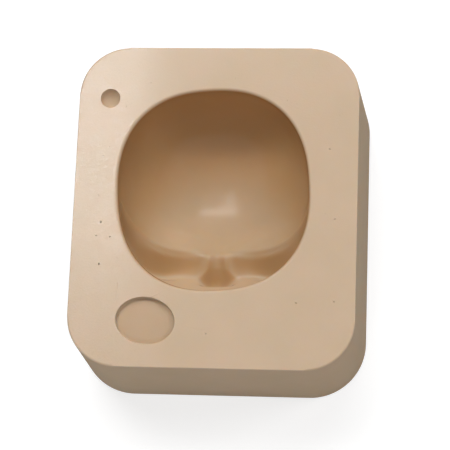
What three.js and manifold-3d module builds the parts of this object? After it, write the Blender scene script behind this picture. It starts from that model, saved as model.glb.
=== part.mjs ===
// A silicone mould for casting the front of a doll's head in clay or resin.
// It is one block of cured rubber with leaning sides and round corners. A hollow face is sunk in its
// top, mouth upwards, and a small dimple and a blank oval mark are pressed in beside it.
// Millimetres. The base lies on z = 0, centred on the origin, and the top of the head points to +Y.
import * as THREE from 'three';
import { mergeVertices } from 'three/addons/utils/BufferGeometryUtils.js';
import Module from 'manifold-3d';

// Block
const TOP_WIDTH = 80;
const TOP_LENGTH = 92.5;
const HEIGHT = 40;
const TOP_CORNER_RADIUS = 14;
const DRAFT = 2.5; // the base is this much wider than the top on every side
const TOP_EDGE_RADIUS = 0.6;
const BASE_EDGE_RADIUS = 0.8;
const CORNER_STEPS = 10;
const EDGE_STEPS = 3;

// Mouth of the cavity, a turned superellipse
const MOUTH = { x: -0.6, y: 4.6, halfWidth: 27, halfLength: 28.9, power: 2.4, turn: 3.9 };
const RIM_RADIUS = 0.9;
const RIM_STEPS = 3;
const COLLAR = 1; // how far the cutting plug stands above the top

// Bowl of the cavity, before the face is pressed into it
const BOWL_DEPTH = 27.4; // from the foot of the rim's rounding
const BOWL_POWER = 2.16;
const BOWL_LEAN = 0.145; // how far its axis leans towards +Y for each millimetre of depth
const SPOKES = 96;
const RINGS = 40;
const POLE_TILT = 39; // the rings close at the tip of the nose, where the detail is

// Features of the face. Sideways places and widths are in millimetres from its middle line, places
// and heights down the face are in degrees about the middle of the mouth of the cavity, measured
// from straight down towards the chin, and reliefs are in millimetres along the ray from there. A
// relief above zero stands out on the doll, so the mould is deeper there.
const FACE_X = -1.34;
const FACE_TURN = 1.6; // degrees in plan, as the mouth's turn
const FACE_SOFT = 0.7; // rounds the two halves of the face into each other
const EYES = { side: 12.3, inside: 12.7, outside: 12.2, down: 34.2, above: 17.4, below: 9.4, relief: -1.91 };
const DROOP = { slant: 0.08, curve: 0.0062 };
const FACE_PLANE = { top: 34.3, full: 44.5, end: 58, rim: 82, halfWidth: 38, relief: 4.31 };
const NOSE = { root: 40, tip: 45.9, foot: 50.6, rootWidth: 1.26, footWidth: 4.1, edge: 3.5, relief: 3.11 };
const BROW = { side: 8.3, halfWidth: 7.2, down: 28.3, halfHeight: 8.3, slant: -0.68, relief: -0.93 };
const LIDS = { side: 17, halfWidth: 11, down: 39.1, halfHeight: 1.6, slant: 0.34, relief: 0.58 };
const CHEEKS = { side: 15.3, halfWidth: 5.6, down: 47.8, halfHeight: 4.9, slant: 0.79, relief: 2.89 };
const EYE_CORNERS = { side: 2.8, halfWidth: 1.6, down: 40.6, halfHeight: 4.8, slant: 0.92, relief: -1.55 };
const BRIDGE = { side: 0, halfWidth: 1.2, down: 42.8, halfHeight: 5, slant: 0, relief: -0.79 };
const LIPS = { side: 0, halfWidth: 4.6, down: 60, halfHeight: 3, slant: 0, relief: 1 };
const LIP_SEAM = { side: 0, halfWidth: 4.4, down: 60, halfHeight: 0.9, slant: 0, relief: -0.6 };
const CHIN = { side: 0, halfWidth: 7, down: 70, halfHeight: 6, slant: 0, relief: 1.6 };
const PATCHES = [BROW, LIDS, CHEEKS, EYE_CORNERS, BRIDGE, LIPS, LIP_SEAM, CHIN];

// Dimple near the top left corner, a round-ended blind hole
const DIMPLE = { x: -31.1, y: 31, diameter: 5.7, depth: 2.4 };
const DIMPLE_STEPS = 24;

// Blank oval mark near the lower left corner
const MARK = { x: -18.1, y: -33.3, length: 16.8, width: 13.4, depth: 1.7, turn: -8, floorRadius: 0.6 };
const MARK_STEPS = 40;

const SILICONE = { color: '#cfb497', roughness: 0.45, metalness: 0 };

const { degToRad, radToDeg, smoothstep, lerp } = THREE.MathUtils;
const wasm = await Module();
wasm.setup();

// A closed mesh through a stack of rings with equal counts of points, closed by a fan at each end.
// The rings go round counter-clockwise as seen from the last one.
function loft(rings) {
  const count = rings[0].length;
  const points = rings.flat();
  const first = points.push(centreOf(rings[0])) - 1;
  const last = points.push(centreOf(rings.at(-1))) - 1;
  const top = (rings.length - 1) * count;
  const triangles = [];
  for (let i = 0; i < count; i += 1) {
    const next = (i + 1) % count;
    triangles.push(first, next, i);
    for (let base = 0; base < top; base += count) {
      const [a, b] = [base + i, base + next];
      triangles.push(a, b, b + count, a, b + count, a + count);
    }
    triangles.push(last, top + i, top + next);
  }
  const geometry = new THREE.BufferGeometry().setFromPoints(points);
  return geometry.setIndex(triangles);
}

function centreOf(ring) {
  const sum = ring.reduce((total, point) => total.add(point), new THREE.Vector3());
  return sum.divideScalar(ring.length);
}

// A closed geometry as a solid that can be cut
function solid(geometry) {
  const bare = geometry.toNonIndexed();
  bare.deleteAttribute('normal');
  bare.deleteAttribute('uv');
  const merged = mergeVertices(bare, 1e-4);
  const vertProperties = merged.getAttribute('position').array;
  const triVerts = new Uint32Array(merged.getIndex().array);
  return new wasm.Manifold(new wasm.Mesh({ numProp: 3, vertProperties, triVerts }));
}

function geometryOf(body) {
  const { vertProperties, triVerts } = body.getMesh();
  const geometry = new THREE.BufferGeometry();
  geometry.setAttribute('position', new THREE.BufferAttribute(vertProperties, 3));
  geometry.setIndex(new THREE.BufferAttribute(triVerts, 1));
  geometry.computeVertexNormals();
  return geometry;
}

// The block's wall from its base up: how far it lies outside the top's nominal outline, and its height.
// Both edges are quarter rounds.
function blockProfile() {
  const profile = [];
  for (let i = 0; i <= EDGE_STEPS; i += 1) {
    const angle = i / EDGE_STEPS * Math.PI / 2;
    const out = DRAFT - BASE_EDGE_RADIUS * (1 - Math.sin(angle));
    profile.push([out, BASE_EDGE_RADIUS * (1 - Math.cos(angle))]);
  }
  for (let i = 0; i <= EDGE_STEPS; i += 1) {
    const angle = i / EDGE_STEPS * Math.PI / 2;
    const out = -TOP_EDGE_RADIUS * (1 - Math.cos(angle));
    profile.push([out, HEIGHT - TOP_EDGE_RADIUS * (1 - Math.sin(angle))]);
  }
  return profile;
}

// The block's rounded outline, moved outwards by out. Its corners keep their centres.
function blockRing(out, z) {
  const ring = [];
  const radius = TOP_CORNER_RADIUS + out;
  for (let corner = 0; corner < 4; corner += 1) {
    const x = (TOP_WIDTH / 2 - TOP_CORNER_RADIUS) * (corner === 0 || corner === 3 ? 1 : -1);
    const y = (TOP_LENGTH / 2 - TOP_CORNER_RADIUS) * (corner < 2 ? 1 : -1);
    for (let i = 0; i <= CORNER_STEPS; i += 1) {
      const angle = (corner + i / CORNER_STEPS) * Math.PI / 2;
      ring.push(new THREE.Vector3(x + radius * Math.cos(angle), y + radius * Math.sin(angle), z));
    }
  }
  return ring;
}

// A place in plan on axes that are turned by some degrees
function turned(x, y, degrees) {
  const cosine = Math.cos(degToRad(degrees));
  const sine = Math.sin(degToRad(degrees));
  return [x * cosine + y * sine, y * cosine - x * sine];
}

// One over the distance from the middle of the mouth to its outline, towards (x, y)
function mouthGauge(x, y) {
  const [across, along] = turned(x, y, MOUTH.turn);
  const power = MOUTH.power;
  const sum = Math.abs(across / MOUTH.halfWidth) ** power + Math.abs(along / MOUTH.halfLength) ** power;
  return sum ** (1 / power);
}

// A bump of height 1 that has faded to a third at a distance of reach
function bell(distance, reach) {
  return Math.exp(-((distance / reach) ** 2));
}

// A soft oval rise or hollow. Its slant is in degrees down the face for each millimetre sideways.
function patch(side, down, feature) {
  const middle = feature.down + feature.slant * (side - feature.side);
  const across = bell(side - feature.side, feature.halfWidth);
  return feature.relief * across * bell(down - middle, feature.halfHeight);
}

// The hollow band across the eyes, long towards the forehead and short towards the cheeks
function eyeLine(side, down) {
  const spread = down < EYES.down ? EYES.above : EYES.below;
  const reach = side < EYES.side ? EYES.inside : EYES.outside;
  return EYES.relief * bell(down - EYES.down, spread) * bell(side - EYES.side, reach);
}

// The face stands out below the eyes and runs into the rim under the chin
function facePlane(side, down) {
  const stands = smoothstep(down, FACE_PLANE.top, FACE_PLANE.full);
  const ends = 1 - smoothstep(down, FACE_PLANE.end, FACE_PLANE.rim);
  return FACE_PLANE.relief * stands * ends * bell(side, FACE_PLANE.halfWidth);
}

// The nose widens and rises from its root to its tip and falls away steeply under it
function nose(side, down) {
  const along = smoothstep(down, NOSE.root, NOSE.tip);
  const under = 1 - smoothstep(down, NOSE.tip, NOSE.foot);
  const width = lerp(NOSE.rootWidth, NOSE.footWidth, along);
  return NOSE.relief * along * under * Math.exp(-((side / width) ** NOSE.edge));
}

// How far the face stands out of the plain bowl. The eyes droop towards the temples, by some degrees
// for each millimetre and square millimetre sideways.
function relief(sideways, down) {
  const side = Math.hypot(sideways, FACE_SOFT);
  const droop = DROOP.slant * side + DROOP.curve * side ** 2;
  const large = eyeLine(side, down - droop) + facePlane(side, down - droop) + nose(side, down);
  return PATCHES.reduce((height, feature) => height + patch(side, down, feature), large);
}

// A point of the cavity's wall on the ray from the middle of the mouth in a unit direction
function facePoint(direction) {
  const { x, y, z } = direction;
  const gauge = mouthGauge(x, y + BOWL_LEAN * z);
  const bowl = gauge ** BOWL_POWER + Math.abs(z / BOWL_DEPTH) ** BOWL_POWER;
  const distance = bowl ** (-1 / BOWL_POWER);
  const [across, along] = turned(x, y, FACE_TURN);
  const side = MOUTH.x + distance * across - FACE_X;
  const down = radToDeg(Math.atan2(-along, -z));
  const fade = smoothstep(-z, 0, 0.35);
  const reach = distance + relief(side, down) * fade;
  return new THREE.Vector3(MOUTH.x, MOUTH.y, HEIGHT - RIM_RADIUS).addScaledVector(direction, reach);
}

// The positive face with a collar above it, which is cut out of the block
function facePlug() {
  const tilt = degToRad(POLE_TILT);
  const pole = new THREE.Vector3(0, -Math.sin(tilt), -Math.cos(tilt));
  const north = new THREE.Vector3(0, Math.cos(tilt), -Math.sin(tilt));
  const rings = Array.from({ length: RINGS + RIM_STEPS + 1 }, () => []);
  for (let i = 0; i < SPOKES; i += 1) {
    const around = i / SPOKES * 2 * Math.PI;
    const tangent = new THREE.Vector3(Math.cos(around), 0, 0).addScaledVector(north, Math.sin(around));
    const widest = Math.atan2(-pole.z, tangent.z);
    for (let ring = 1; ring <= RINGS; ring += 1) {
      const angle = widest * ring / RINGS;
      const direction = pole.clone().multiplyScalar(Math.cos(angle));
      direction.addScaledVector(tangent, Math.sin(angle));
      direction.z = Math.min(direction.z, 0);
      rings[ring - 1].push(facePoint(direction));
    }
    const foot = rings[RINGS - 1][i];
    const outwards = foot.clone().sub(new THREE.Vector3(MOUTH.x, MOUTH.y, foot.z)).normalize();
    for (let step = 1; step <= RIM_STEPS; step += 1) {
      const angle = step / RIM_STEPS * Math.PI / 2;
      const point = foot.clone().addScaledVector(outwards, RIM_RADIUS * (1 - Math.cos(angle)));
      point.z += RIM_RADIUS * Math.sin(angle);
      rings[RINGS - 1 + step].push(point);
    }
    const edge = rings[RINGS + RIM_STEPS - 1][i];
    rings[RINGS + RIM_STEPS].push(new THREE.Vector3(edge.x, edge.y, HEIGHT + COLLAR));
  }
  return loft(rings);
}

// A turned profile, from the bottom of its round end up to its collar
function dimplePlug() {
  const radius = DIMPLE.diameter / 2;
  const ball = (radius ** 2 + DIMPLE.depth ** 2) / (2 * DIMPLE.depth);
  const spread = Math.asin(radius / ball);
  const profile = [];
  for (let i = 0; i <= 6; i += 1) {
    const angle = spread * i / 6;
    profile.push(new THREE.Vector2(ball * Math.sin(angle), ball * (1 - Math.cos(angle)) - DIMPLE.depth));
  }
  profile.push(new THREE.Vector2(radius, COLLAR), new THREE.Vector2(0, COLLAR));
  const geometry = new THREE.LatheGeometry(profile, DIMPLE_STEPS).rotateX(Math.PI / 2);
  return geometry.translate(DIMPLE.x, DIMPLE.y, HEIGHT);
}

// An oval plug whose lower edge is rounded
function markPlug() {
  const rings = [];
  const levels = [[-MARK.floorRadius, -MARK.depth], [0, MARK.floorRadius - MARK.depth], [0, COLLAR]];
  for (const [out, z] of levels) {
    const oval = new THREE.EllipseCurve(0, 0, MARK.length / 2 + out, MARK.width / 2 + out);
    rings.push(oval.getSpacedPoints(MARK_STEPS).slice(1).map(({ x, y }) => new THREE.Vector3(x, y, z)));
  }
  return loft(rings).rotateZ(degToRad(MARK.turn)).translate(MARK.x, MARK.y, HEIGHT);
}

let body = solid(loft(blockProfile().map(([out, z]) => blockRing(out, z))));
for (const plug of [facePlug(), dimplePlug(), markPlug()]) {
  body = body.subtract(solid(plug));
}

const mould = new THREE.Group();
const block = new THREE.Mesh(geometryOf(body), new THREE.MeshStandardMaterial(SILICONE));
block.name = 'mould_block';
mould.add(block);

export default mould;
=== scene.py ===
# A silicone mould for casting the front of a doll's head. It is one block of beige rubber with a hollow
# face sunk in its top, a round dimple and a blank oval mark beside it, and a few pinholes of trapped air.
import math
import random

import bmesh
import bpy
from mathutils import Matrix, Vector


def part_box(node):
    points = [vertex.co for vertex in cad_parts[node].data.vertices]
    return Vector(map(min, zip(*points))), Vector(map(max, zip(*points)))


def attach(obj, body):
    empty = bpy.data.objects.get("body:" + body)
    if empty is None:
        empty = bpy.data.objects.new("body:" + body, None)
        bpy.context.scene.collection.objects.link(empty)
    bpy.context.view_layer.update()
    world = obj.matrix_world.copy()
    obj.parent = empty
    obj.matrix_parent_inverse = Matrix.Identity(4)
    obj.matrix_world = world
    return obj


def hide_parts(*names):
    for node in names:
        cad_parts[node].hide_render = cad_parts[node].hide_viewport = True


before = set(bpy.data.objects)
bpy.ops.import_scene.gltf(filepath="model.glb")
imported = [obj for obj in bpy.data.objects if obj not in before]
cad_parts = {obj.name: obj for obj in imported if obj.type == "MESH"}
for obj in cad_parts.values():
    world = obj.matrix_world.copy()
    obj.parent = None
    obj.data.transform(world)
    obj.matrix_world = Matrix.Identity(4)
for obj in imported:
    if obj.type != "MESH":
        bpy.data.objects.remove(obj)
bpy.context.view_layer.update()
MM = 0.001

# The block's size comes from the frame. Each side of its top stands in from its base by the draft.
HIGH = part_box("mould_block")[1]
HEIGHT = HIGH.z
DRAFT = 2.5 * MM
HALF_WIDTH = HIGH.x - DRAFT
HALF_LENGTH = HIGH.y - DRAFT
CORNER_RADIUS = 14 * MM
TOP_EDGE_RADIUS = 0.6 * MM
BASE_EDGE_RADIUS = 0.8 * MM

# Mouth of the cavity, a turned superellipse, in millimetres, with the round of its rim, and the collar
# that the plugs of the cavity and the mark have above the top face
MOUTH = dict(x=-0.6, y=4.6, half_width=27, half_length=28.9, power=2.4, turn=math.radians(3.9))
RIM_RADIUS = 0.9
COLLAR = 1.0

# Bowl of the cavity, before the face is pressed into it: its depth in millimetres, the power of its
# section, and how far its deepest point stands north of the mouth's middle for each millimetre of depth
BOWL_DEPTH = 27.4
BOWL_POWER = 2.16
BOWL_LEAN = 0.145

# Mesh of the cavity: its spokes and rings stand round a pole that leans south
SPOKES = 240
FACE_RINGS = 120
RIM_RINGS = 6
POLE_TILT = math.radians(39)

# Features of the face: sideways in millimetres from its middle line, down the face in degrees, and
# relief in millimetres, which is above zero where the doll's face stands out and the mould is deeper.
# Under the rim the relief fades in, and it is whole where the sine of a ray's slope reaches FACE_FADE.
FACE_X = -1.34
FACE_TURN = math.radians(1.6)
FACE_SOFT = 0.7
FACE_FADE = 0.35
EYES = dict(side=12.3, inside=12.7, outside=12.2, down=34.2, above=17.4, below=9.4, relief=-1.91)
DROOP = dict(slant=0.08, curve=0.0062)
FACE_PLANE = dict(top=34.3, full=44.5, end=58, rim=82, half_width=38, relief=4.31)
NOSE = dict(root=40, tip=45.9, foot=50.6, root_width=1.26, foot_width=4.1, edge=3.5, relief=3.11)
BROW = dict(side=8.3, half_width=7.2, down=28.3, half_height=8.3, slant=-0.68, relief=-0.93)
LIDS = dict(side=17, half_width=11, down=39.1, half_height=1.6, slant=0.34, relief=0.58)
CHEEKS = dict(side=15.3, half_width=5.6, down=47.8, half_height=4.9, slant=0.79, relief=2.89)
EYE_CORNERS = dict(side=2.8, half_width=1.6, down=40.6, half_height=4.8, slant=0.92, relief=-1.55)
BRIDGE = dict(side=0, half_width=1.2, down=42.8, half_height=5, slant=0, relief=-0.79)
LIPS = dict(side=0, half_width=4.6, down=60, half_height=3, slant=0, relief=1.0)
LIP_SEAM = dict(side=0, half_width=4.4, down=60, half_height=0.9, slant=0, relief=-0.6)
CHIN = dict(side=0, half_width=7, down=70, half_height=6, slant=0, relief=1.6)
PATCHES = (BROW, LIDS, CHEEKS, EYE_CORNERS, BRIDGE, LIPS, LIP_SEAM, CHIN)

# The dimple and the blank mark, in millimetres, with the round at the foot of the mark's wall
DIMPLE = dict(x=-31.1, y=31.0, radius=2.85, depth=2.4)
MARK = dict(x=-18.1, y=-33.3, half_length=8.4, half_width=6.7, depth=1.7, turn=math.radians(-8), foot=0.6)

# Pinholes of trapped air in the top face: their places and radii in millimetres. The middle of each
# bubble lies below the face by a share of its radius.
PINHOLES = [
    (32.0, 16.5, 0.28), (33.9, -3.7, 0.25), (34.1, -27.1, 0.3), (-31.9, -5.5, 0.42), (-29.1, -9.7, 0.32),
    (-31.8, -17.5, 0.4), (23.7, -27.6, 0.28), (-0.9, -36.7, 0.28), (-19.6, 35.7, 0.24), (-33.1, -9.4, 0.3),
]
PINHOLE_SINK = 0.7

# Fine pinholes: how many, their least and largest radius, the half width and half length of the field
# that they are scattered over, and how far they keep clear of one another, of the block's edges and of
# the middles of the dimple and the mark, in millimetres. The mouth's clearance is a share of its size.
FINE_PINHOLES = 26
FINE_RADIUS = (0.12, 0.2)
FINE_FIELD = (35, 41)
CLEAR = dict(apart=2, edge=5, dimple=5, mark=11, mouth=1.1)


def linear(hex_colour):
    """An sRGB hex colour as the linear values that shaders take."""
    channels = [int(hex_colour[i:i + 2], 16) / 255 for i in (1, 3, 5)]
    return [c / 12.92 if c <= 0.04045 else ((c + 0.055) / 1.055) ** 2.4 for c in channels] + [1.0]


def bell(distance, reach):
    """1 at no distance, and falling off smoothly over the reach."""
    return math.exp(-((distance / reach) ** 2))


def smoothstep(value, low, high):
    """0 up to low, 1 from high, and smooth in between."""
    t = min(1, max(0, (value - low) / (high - low)))
    return t * t * (3 - 2 * t)


def patch(side, down, p):
    """An oval swelling or hollow, which may slant down or up as it leaves the middle line."""
    middle = p["down"] + p["slant"] * (side - p["side"])
    return p["relief"] * bell(side - p["side"], p["half_width"]) * bell(down - middle, p["half_height"])


def turned(x, y, angle):
    """A place in plan on axes that are turned by an angle."""
    c, s = math.cos(angle), math.sin(angle)
    return x * c + y * s, y * c - x * s


def mouth_gauge(x, y):
    """How far a place is from the mouth's middle: 1 on the mouth's outline, and less inside it."""
    across, along = turned(x, y, MOUTH["turn"])
    power = MOUTH["power"]
    total = abs(across / MOUTH["half_width"]) ** power + abs(along / MOUTH["half_length"]) ** power
    return total ** (1 / power)


def eye_line(side, down):
    """The hollow of the eyes, which spreads further up the forehead than down to the cheek."""
    spread = EYES["above"] if down < EYES["down"] else EYES["below"]
    reach = EYES["inside"] if side < EYES["side"] else EYES["outside"]
    return EYES["relief"] * bell(down - EYES["down"], spread) * bell(side - EYES["side"], reach)


def face_plane(side, down):
    """The lower face, which stands out under the eyes and runs out towards the rim."""
    stands = smoothstep(down, FACE_PLANE["top"], FACE_PLANE["full"])
    ends = 1 - smoothstep(down, FACE_PLANE["end"], FACE_PLANE["rim"])
    return FACE_PLANE["relief"] * stands * ends * bell(side, FACE_PLANE["half_width"])


def nose(side, down):
    """The nose, which widens from its root to its tip and then ends at its foot."""
    along = smoothstep(down, NOSE["root"], NOSE["tip"])
    under = 1 - smoothstep(down, NOSE["tip"], NOSE["foot"])
    width = NOSE["root_width"] + (NOSE["foot_width"] - NOSE["root_width"]) * along
    return NOSE["relief"] * along * under * math.exp(-((side / width) ** NOSE["edge"]))


def relief(sideways, down):
    """How far the face stands out of the plain bowl, in millimetres. It is the same on both sides of its
    middle line, where a soft radius keeps out a crease."""
    side = math.hypot(sideways, FACE_SOFT)
    droop = DROOP["slant"] * side + DROOP["curve"] * side ** 2
    large = eye_line(side, down - droop) + face_plane(side, down - droop) + nose(side, down)
    return large + sum(patch(side, down, p) for p in PATCHES)


def face_point(direction):
    """A point of the cavity's wall, in millimetres, on the ray from the middle of the mouth."""
    x, y, z = direction
    bowl = mouth_gauge(x, y + BOWL_LEAN * z) ** BOWL_POWER + abs(z / BOWL_DEPTH) ** BOWL_POWER
    distance = bowl ** (-1 / BOWL_POWER)
    across, along = turned(x, y, FACE_TURN)
    down = math.degrees(math.atan2(-along, -z))
    fade = smoothstep(-z, 0, FACE_FADE)
    reach = distance + relief(MOUTH["x"] + distance * across - FACE_X, down) * fade
    return Vector((MOUTH["x"], MOUTH["y"], HEIGHT / MM - RIM_RADIUS)) + Vector(direction) * reach


def new_object(name, bm):
    """An object at the origin made from a bmesh, with its normals outwards."""
    mesh = bpy.data.meshes.new(name)
    bmesh.ops.recalc_face_normals(bm, faces=bm.faces)
    bm.to_mesh(mesh)
    bm.free()
    obj = bpy.data.objects.new(name, mesh)
    bpy.context.scene.collection.objects.link(obj)
    return obj


def face_plug():
    """The head that the rubber was poured round: a ball whose rings are drawn into the face, the rim
    and a collar above the mould's top."""
    bm = bmesh.new()
    rings = FACE_RINGS + RIM_RINGS + 2
    bmesh.ops.create_uvsphere(bm, u_segments=SPOKES, v_segments=rings, radius=1)
    pole = Vector((0, -math.sin(POLE_TILT), -math.cos(POLE_TILT)))
    north = Vector((0, math.cos(POLE_TILT), -math.sin(POLE_TILT)))
    middle = Vector((MOUTH["x"], MOUTH["y"], 0))
    for v in bm.verts:
        ring = round(math.acos(max(-1, min(1, -v.co.z))) / math.pi * rings)
        around = math.atan2(v.co.y, v.co.x)
        tangent = Vector((math.cos(around), 0, 0)) + north * math.sin(around)
        widest = math.atan2(-pole.z, tangent.z)
        angle = widest * min(ring, FACE_RINGS) / FACE_RINGS
        direction = pole * math.cos(angle) + tangent * math.sin(angle)
        direction.z = min(direction.z, 0)
        point = face_point(direction)
        turn = min(1, max(0, ring - FACE_RINGS) / RIM_RINGS) * math.pi / 2
        outwards = Vector((point.x, point.y, 0)) - middle
        point += outwards.normalized() * RIM_RADIUS * (1 - math.cos(turn))
        point.z += RIM_RADIUS * math.sin(turn)
        if ring > FACE_RINGS + RIM_RINGS:
            point.z += COLLAR
        if ring == rings:
            point = middle + Vector((0, 0, point.z))
        v.co = point * MM
    return new_object("face_plug", bm)


def dimple_plug():
    """A ball, sunk so far that it leaves a dimple of the right width and depth."""
    bm = bmesh.new()
    radius, depth = DIMPLE["radius"], DIMPLE["depth"]
    ball = (radius ** 2 + depth ** 2) / (2 * depth)
    bmesh.ops.create_uvsphere(bm, u_segments=64, v_segments=48, radius=ball * MM)
    place = Vector((DIMPLE["x"], DIMPLE["y"], ball - depth)) * MM + Vector((0, 0, HEIGHT))
    bmesh.ops.translate(bm, verts=bm.verts, vec=place)
    return new_object("dimple_plug", bm)


def mark_plug():
    """An oval disc for the blank mark."""
    bm = bmesh.new()
    bmesh.ops.create_circle(bm, cap_ends=True, radius=1, segments=96)
    scale = (MARK["half_length"] * MM, MARK["half_width"] * MM, 1)
    bmesh.ops.scale(bm, verts=bm.verts, vec=scale)
    made = bmesh.ops.extrude_face_region(bm, geom=bm.faces[:])
    top = [v for v in made["geom"] if isinstance(v, bmesh.types.BMVert)]
    bmesh.ops.translate(bm, verts=top, vec=(0, 0, (MARK["depth"] + COLLAR) * MM))
    bottom = [e for e in bm.edges if all(v.co.z < 1e-6 for v in e.verts)]
    bmesh.ops.bevel(
        bm, geom=bottom, offset=MARK["foot"] * MM, segments=4, profile=0.5, affect="EDGES", material=-1
    )
    bmesh.ops.rotate(bm, verts=bm.verts, cent=(0, 0, 0), matrix=Matrix.Rotation(MARK["turn"], 3, "Z"))
    place = Vector((MARK["x"] * MM, MARK["y"] * MM, HEIGHT - MARK["depth"] * MM))
    bmesh.ops.translate(bm, verts=bm.verts, vec=place)
    return new_object("mark_plug", bm)


def on_plain_top(x, y):
    """Whether a place in millimetres lies on the top face, clear of its hollows and edges."""
    inside = abs(x) < HALF_WIDTH / MM - CLEAR["edge"] and abs(y) < HALF_LENGTH / MM - CLEAR["edge"]
    off_mouth = mouth_gauge(x - MOUTH["x"], y - MOUTH["y"]) > CLEAR["mouth"]
    off_dimple = math.dist((x, y), (DIMPLE["x"], DIMPLE["y"])) > CLEAR["dimple"]
    off_mark = math.dist((x, y), (MARK["x"], MARK["y"])) > CLEAR["mark"]
    return inside and off_mouth and off_dimple and off_mark


def pinhole_plug():
    """Balls that leave a pit wherever an air bubble rested against the surface as the rubber cured."""
    chance = random.Random(7)
    places = list(PINHOLES)
    while len(places) < len(PINHOLES) + FINE_PINHOLES:
        x, y = [chance.uniform(-half, half) for half in FINE_FIELD]
        apart = all(math.dist((x, y), place[:2]) > CLEAR["apart"] for place in places)
        if on_plain_top(x, y) and apart:
            places.append((x, y, chance.uniform(*FINE_RADIUS)))
    bm = bmesh.new()
    for x, y, radius in places:
        spot = Matrix.Translation((x * MM, y * MM, HEIGHT - PINHOLE_SINK * radius * MM))
        bmesh.ops.create_icosphere(bm, subdivisions=2, radius=radius * MM, matrix=spot)
    return new_object("pinhole_plug", bm)


def block():
    """The outer block: the top's outline with round corners, drawn down and outwards to the base."""
    bm = bmesh.new()
    corners = [(1, 1), (-1, 1), (-1, -1), (1, -1)]
    bm.faces.new([bm.verts.new((x * HALF_WIDTH, y * HALF_LENGTH, HEIGHT)) for x, y in corners])
    bmesh.ops.bevel(
        bm, geom=bm.verts[:], offset=CORNER_RADIUS, segments=24, profile=0.5, affect="VERTICES", material=-1
    )
    made = bmesh.ops.extrude_face_region(bm, geom=bm.faces[:])
    base = [v for v in made["geom"] if isinstance(v, bmesh.types.BMVert)]
    for v in base:
        inner_x = max(-HALF_WIDTH + CORNER_RADIUS, min(HALF_WIDTH - CORNER_RADIUS, v.co.x))
        inner_y = max(-HALF_LENGTH + CORNER_RADIUS, min(HALF_LENGTH - CORNER_RADIUS, v.co.y))
        outwards = Vector((v.co.x - inner_x, v.co.y - inner_y, 0)).normalized()
        v.co = Vector((v.co.x, v.co.y, 0)) + outwards * DRAFT
    for z, radius in ((HEIGHT, TOP_EDGE_RADIUS), (0, BASE_EDGE_RADIUS)):
        rim = [e for e in bm.edges if all(abs(v.co.z - z) < 1e-6 for v in e.verts)]
        bmesh.ops.bevel(bm, geom=rim, offset=radius, segments=5, profile=0.5, affect="EDGES", material=-1)
    return new_object("silicone_block", bm)


def cut(body, plug):
    """Sets a plug to be cut out of the body."""
    modifier = body.modifiers.new(plug.name, "BOOLEAN")
    modifier.operation = "DIFFERENCE"
    modifier.solver = "EXACT"
    modifier.object = plug


def finished(body, plugs):
    """The block with its plugs cut out of it, as one plain mesh."""
    graph = bpy.context.evaluated_depsgraph_get()
    mesh = bpy.data.meshes.new_from_object(body.evaluated_get(graph))
    body.modifiers.clear()
    body.data = mesh
    for plug in plugs:
        bpy.data.objects.remove(plug)
    mesh.shade_smooth()
    normals = body.modifiers.new("normals", "WEIGHTED_NORMAL")
    normals.mode = "FACE_AREA"
    normals.weight = 100
    return body


def add(owner, kind, links=(), **settings):
    """A node of a kind, with its settings and input values, fed by (source, input) links."""
    node = owner.node_tree.nodes.new(kind)
    for name, value in settings.items():
        if hasattr(node, name):
            setattr(node, name, value)
        else:
            node.inputs[name.replace("_", " ")].default_value = value
    for source, target in links:
        owner.node_tree.links.new(source, node.inputs[target])
    return node


# Colours of the rubber, in sRGB, and the two ends of the mottling that multiplies them. The cavity's
# shade and crown colours are painted shade, and the top's colour is the walls' colour painted lighter.
FOREHEAD_COLOUR = "#bca283"
PAINTED_SHADE_COLOUR = "#ba966c"
PAINTED_CROWN_SHADE_COLOUR = "#a67e54"
WALL_COLOUR = "#bda489"
PAINTED_LIGHT_TOP_COLOUR = "#c5ae94"
GREYISH = (0.98, 0.985, 0.98, 1)
PINKISH = (1.02, 1.01, 1.025, 1)

# Sizes in the rubber, in millimetres: its clouds of pigment, the patches and glints of its sheen, and
# the grain of its pitting
CLOUD_SIZE = 14
PATCH_SIZE = 0.8
GLINT_SIZE = 0.6
GRAIN_SIZE = 0.5


def zones(material, place):
    """How far a place belongs to the top face, to the walls, and to either, from 0 to 1. The top face
    lies at the block's full height, and the walls below it, far from the mouth's middle."""
    axes = add(material, "ShaderNodeSeparateXYZ", [(place, "Vector")])
    top = add(
        material, "ShaderNodeMapRange", [(axes.outputs["Z"], "Value")],
        From_Min=HEIGHT - 0.8 * MM, From_Max=HEIGHT - 0.05 * MM,
    ).outputs["Result"]
    flat = add(material, "ShaderNodeVectorMath", [(place, 0)], operation="MULTIPLY")
    flat.inputs[1].default_value = (1, 1, 0)
    off_middle = add(material, "ShaderNodeVectorMath", [(flat.outputs["Vector"], 0)], operation="DISTANCE")
    off_middle.inputs[1].default_value = (MOUTH["x"] * MM, MOUTH["y"] * MM, 0)
    away = add(
        material, "ShaderNodeMapRange", [(off_middle.outputs["Value"], "Value")],
        From_Min=31 * MM, From_Max=32 * MM,
    ).outputs["Result"]
    outside = add(material, "ShaderNodeMath", [(top, 0), (away, 1)], operation="MAXIMUM").outputs["Value"]
    walls = add(material, "ShaderNodeMath", [(outside, 0), (top, 1)], operation="SUBTRACT").outputs["Value"]
    return top, walls, outside


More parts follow.
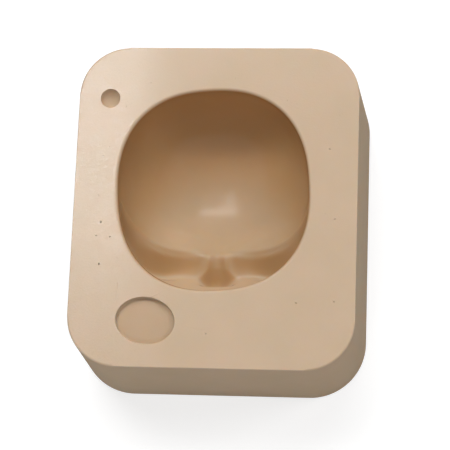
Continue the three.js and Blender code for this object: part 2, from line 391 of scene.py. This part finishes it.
def cavity_colour_and_shade(material, coordinates):
    """Painted shade in the cavity: darker and browner up its walls, on the slopes that face south, away from
    the lamps, and most of all at the crown, which only bounced light reaches. The middle of the forehead has
    stayed pale."""
    facing = add(material, "ShaderNodeSeparateXYZ", [(coordinates["Normal"], "Vector")])
    # Painted shade on the slopes that face south, away from the lamps
    south_facing_shade = add(
        material, "ShaderNodeMapRange", [(facing.outputs["Y"], "Value")], interpolation_type="SMOOTHSTEP",
        From_Min=0.1, From_Max=-0.45,
    )
    # Painted shade that deepens up the walls and northwards, towards the crown
    climb = add(material, "ShaderNodeVectorMath", [(coordinates["Object"], 0)], operation="DOT_PRODUCT")
    climb.inputs[1].default_value = (0, 1, 1.5)
    spread = add(
        material, "ShaderNodeMapRange", [(climb.outputs["Value"], "Value")], interpolation_type="SMOOTHSTEP",
        From_Min=22 * MM, From_Max=42 * MM,
    )
    reach = add(
        material, "ShaderNodeMath", [(spread.outputs["Result"], 0), (south_facing_shade.outputs["Result"], 1)],
        operation="MAXIMUM",
    )
    painted_shade = add(material, "ShaderNodeMix", [(reach.outputs["Value"], "Factor")], data_type="RGBA")
    painted_shade.inputs["A"].default_value = linear(FOREHEAD_COLOUR)
    painted_shade.inputs["B"].default_value = linear(PAINTED_SHADE_COLOUR)
    # The crown is painted darkest, as shade where only light bounced within the cavity reaches
    crown_shade = add(
        material, "ShaderNodeMapRange", [(climb.outputs["Value"], "Value")], interpolation_type="SMOOTHSTEP",
        From_Min=40 * MM, From_Max=80 * MM,
    )
    cavity = add(
        material, "ShaderNodeMix", [(crown_shade.outputs["Result"], "Factor"), (painted_shade.outputs["Result"], "A")],
        data_type="RGBA",
    )
    cavity.inputs["B"].default_value = linear(PAINTED_CROWN_SHADE_COLOUR)
    return cavity.outputs["Result"]


def rubber_colour(material, coordinates, top, outside):
    """The cavity with its painted shade, the walls, and the top face painted paler for the fuller light that
    falls on it, under cloudy mottling of the pigment.
    """
    place = coordinates["Object"]
    # The top face is painted paler than the walls, standing in for the fuller light that falls on it
    skin = add(material, "ShaderNodeMix", [(top, "Factor")], data_type="RGBA")
    skin.inputs["A"].default_value = linear(WALL_COLOUR)
    skin.inputs["B"].default_value = linear(PAINTED_LIGHT_TOP_COLOUR)
    colour = add(
        material, "ShaderNodeMix",
        [(outside, "Factor"), (cavity_colour_and_shade(material, coordinates), "A"), (skin.outputs["Result"], "B")],
        data_type="RGBA",
    )
    clouds = add(material, "ShaderNodeTexNoise", [(place, "Vector")], Scale=1 / (CLOUD_SIZE * MM), Detail=3)
    cloudy = add(
        material, "ShaderNodeMapRange", [(clouds.outputs["Fac"], "Value")], From_Min=0.35, From_Max=0.65
    )
    tint = add(material, "ShaderNodeMix", [(cloudy.outputs["Result"], "Factor")], data_type="RGBA")
    tint.inputs["A"].default_value = GREYISH
    tint.inputs["B"].default_value = PINKISH
    mottled = add(
        material, "ShaderNodeVectorMath",
        [(colour.outputs["Result"], 0), (tint.outputs["Result"], 1)], operation="MULTIPLY",
    )
    return mottled.outputs["Vector"]


def rubber_roughness(material, place, top, walls):
    """Satin in the cavity, patchy on the top face, and dull with bloom on the walls."""
    patches = add(material, "ShaderNodeTexNoise", [(place, "Vector")], Scale=1 / (PATCH_SIZE * MM), Detail=2)
    sheen = add(
        material, "ShaderNodeMapRange", [(patches.outputs["Fac"], "Value")],
        From_Min=0.35, From_Max=0.65, To_Min=0.13, To_Max=0.19,
    )
    skin = add(material, "ShaderNodeMix", [(top, "Factor"), (sheen.outputs["Result"], "B")], A=0.21)
    rough = add(material, "ShaderNodeMix", [(walls, "Factor"), (skin.outputs["Result"], "A")], B=0.8)
    return rough.outputs["Result"]


def rubber_gloss(material, place, top, walls):
    """Strength of the sheen, which the walls have lost. The left border of the top face has kept it in
    small glints, where the rest has bloomed."""
    axes = add(material, "ShaderNodeSeparateXYZ", [(place, "Vector")])
    border = add(
        material, "ShaderNodeMapRange", [(axes.outputs["X"], "Value")], interpolation_type="SMOOTHSTEP",
        From_Min=-10 * MM, From_Max=-28 * MM,
    )
    specks = add(material, "ShaderNodeTexNoise", [(place, "Vector")], Scale=1 / (GLINT_SIZE * MM), Detail=2)
    glints = add(
        material, "ShaderNodeMapRange", [(specks.outputs["Fac"], "Value")],
        From_Min=0.5, From_Max=0.68, To_Min=0.45, To_Max=1.0,
    )
    kept = add(
        material, "ShaderNodeMix",
        [(border.outputs["Result"], "Factor"), (glints.outputs["Result"], "B")], A=0.25,
    )
    skin = add(material, "ShaderNodeMix", [(top, "Factor"), (kept.outputs["Result"], "B")], A=0.3)
    gloss = add(material, "ShaderNodeMix", [(walls, "Factor"), (skin.outputs["Result"], "A")], B=0.0)
    return gloss.outputs["Result"]


def rubber_pitting(material, place, outside):
    """Fine pitting of the outer skin, which the cavity doesn't have."""
    grain = add(material, "ShaderNodeTexNoise", [(place, "Vector")], Scale=1 / (GRAIN_SIZE * MM), Detail=2)
    depth = add(material, "ShaderNodeMath", [(outside, 0), (grain.outputs["Fac"], 1)], operation="MULTIPLY")
    pitting = add(
        material, "ShaderNodeBump", [(depth.outputs["Value"], "Height")], Strength=0.6, Distance=0.04 * MM
    )
    return pitting.outputs["Normal"]


def silicone():
    """Beige casting silicone, poured over a model in a box and cured. The cavity copies the model and is
    satin, with painted shade in its hollows and crown. The outside is paler, its top face painted lighter,
    with a dry bloom and a finely pitted sheen."""
    material = bpy.data.materials.new("poured_silicone_beige")
    material.use_nodes = True
    shader = material.node_tree.nodes["Principled BSDF"]
    connect = material.node_tree.links.new
    coordinates = add(material, "ShaderNodeTexCoord").outputs
    place = coordinates["Object"]
    top, walls, outside = zones(material, place)
    connect(rubber_colour(material, coordinates, top, outside), shader.inputs["Base Color"])
    connect(rubber_roughness(material, place, top, walls), shader.inputs["Roughness"])
    connect(rubber_gloss(material, place, top, walls), shader.inputs["Specular IOR Level"])
    connect(rubber_pitting(material, place, outside), shader.inputs["Normal"])
    shader.inputs["IOR"].default_value = 1.41
    shader.inputs["Subsurface Weight"].default_value = 0.6
    shader.inputs["Subsurface Radius"].default_value = (1.0, 0.55, 0.3)
    shader.inputs["Subsurface Scale"].default_value = 1.2 * MM
    return material


def seen_directly(owner):
    """1 for rays that show a surface itself: from the camera, or by way of a gloss or a clear body."""
    path = add(owner, "ShaderNodeLightPath").outputs
    glossy = add(
        owner, "ShaderNodeMath", [(path["Is Camera Ray"], 0), (path["Is Glossy Ray"], 1)], operation="MAXIMUM"
    )
    return add(
        owner, "ShaderNodeMath", [(glossy.outputs["Value"], 0), (path["Is Transmission Ray"], 1)],
        operation="MAXIMUM",
    ).outputs["Value"]


# The floor: the share of light that it throws back on the object, the tone and glow that show instead
# where it is seen, its half side in metres, and how far it lies under the block in millimetres
FLOOR_BOUNCE = 0.45
FLOOR_TONE = 0.4
FLOOR_GLOW = 0.72
FLOOR_REACH = 3
FLOOR_GAP = 0.05


def white_card():
    """Matt white card. It shows white and keeps the block's soft shadow, and throws back less light
    than it shows, as a small card in a wider grey room does."""
    material = bpy.data.materials.new("white_card")
    material.use_nodes = True
    shader = material.node_tree.nodes["Principled BSDF"]
    seen = seen_directly(material)
    tone = add(material, "ShaderNodeMix", [(seen, "Factor")], A=FLOOR_BOUNCE, B=FLOOR_TONE)
    lift = add(material, "ShaderNodeMath", [(seen, 0)], operation="MULTIPLY")
    lift.inputs[1].default_value = FLOOR_GLOW
    material.node_tree.links.new(tone.outputs["Result"], shader.inputs["Base Color"])
    material.node_tree.links.new(lift.outputs["Value"], shader.inputs["Emission Strength"])
    shader.inputs["Emission Color"].default_value = (1, 1, 1, 1)
    shader.inputs["Roughness"].default_value = 1.0
    shader.inputs["Specular IOR Level"].default_value = 0.0
    return material


def floor():
    """A wide card a hair under the block, so that the two faces never lie in one plane."""
    bm = bmesh.new()
    under = Matrix.Translation((0, 0, -FLOOR_GAP * MM))
    bmesh.ops.create_grid(bm, x_segments=1, y_segments=1, size=FLOOR_REACH, matrix=under)
    card = new_object("floor", bm)
    card.data.materials.append(white_card())


def aim(obj, place, target, turn=0.0):
    """Puts obj at place, looking at target, with the picture's up turned from +Y in plan."""
    forward = (Vector(target) - Vector(place)).normalized()
    right = forward.cross(Vector((-math.sin(turn), math.cos(turn), 0))).normalized()
    up = right.cross(forward)
    obj.matrix_world = Matrix((right, up, -forward)).transposed().to_4x4()
    obj.location = place


# The camera: where it stands and looks in metres, how far it is turned, and its lens in millimetres
CAMERA_PLACE = (0.05038, -0.1103, 0.48597)
CAMERA_TARGET = (0.00325, -0.00583, 0.04)
CAMERA_TURN = math.radians(2.13)
LENS = 131.85
SENSOR_WIDTH = 36


def camera():
    data = bpy.data.cameras.new("camera")
    data.lens = LENS
    data.sensor_width = SENSOR_WIDTH
    cam = bpy.data.objects.new("camera", data)
    bpy.context.scene.collection.objects.link(cam)
    aim(cam, CAMERA_PLACE, CAMERA_TARGET, CAMERA_TURN)
    bpy.context.scene.camera = cam


# Soft studio light, all from one distance in metres: azimuth from +X towards +Y and elevation in
# degrees, the width and height of its panel in metres, and its power in watts. Only the windows show
# in the gloss of the rubber.
PANELS = {
    "west_high": (125, 58, 1.2, 0.7, 18.0),
    "north_mid": (90, 42, 1.4, 0.7, 10.5),
    "east_mid": (20, 42, 1.4, 0.7, 15.0),
    "south_mid": (270, 42, 1.4, 0.7, 10.7),
    "south_low": (270, 18, 1.6, 0.8, 8.5),
    "window_strip": (93, 64.5, 1.3, 0.24, 11.8),
    "window_side": (127, 70, 0.25, 0.4, 3.0),
}
DISTANCE = 2.2


def panel(name, azimuth, elevation, width, height, power):
    """One panel of light, aimed at the middle of the block's top."""
    data = bpy.data.lights.new(name, "AREA")
    data.shape = "RECTANGLE"
    data.size = width
    data.size_y = height
    data.energy = power
    obj = bpy.data.objects.new(name, data)
    bpy.context.scene.collection.objects.link(obj)
    obj.visible_glossy = name.startswith("window")
    turn, rise = math.radians(azimuth), math.radians(elevation)
    way = Vector((math.cos(turn) * math.cos(rise), math.sin(turn) * math.cos(rise), math.sin(rise)))
    target = Vector((0, 0, HEIGHT))
    aim(obj, target + way * DISTANCE, target)


def surroundings():
    """A white room, which shows to the camera and in gloss and throws no other light on the object."""
    world = bpy.data.worlds.new("pale_room")
    bpy.context.scene.world = world
    world.use_nodes = True
    background = world.node_tree.nodes["Background"]
    world.node_tree.links.new(seen_directly(world), background.inputs["Strength"])
    background.inputs["Color"].default_value = (1, 1, 1, 1)


body = block()
plugs = [face_plug(), dimple_plug(), mark_plug(), pinhole_plug()]
for plug in plugs:
    cut(body, plug)
mould = finished(body, plugs)
mould.data.materials.clear()
mould.data.materials.append(silicone())
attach(mould, "root")
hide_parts("mould_block")

floor()
camera()
for name, values in PANELS.items():
    panel(name, *values)
surroundings()
bpy.context.scene.view_settings.view_transform = "Standard"
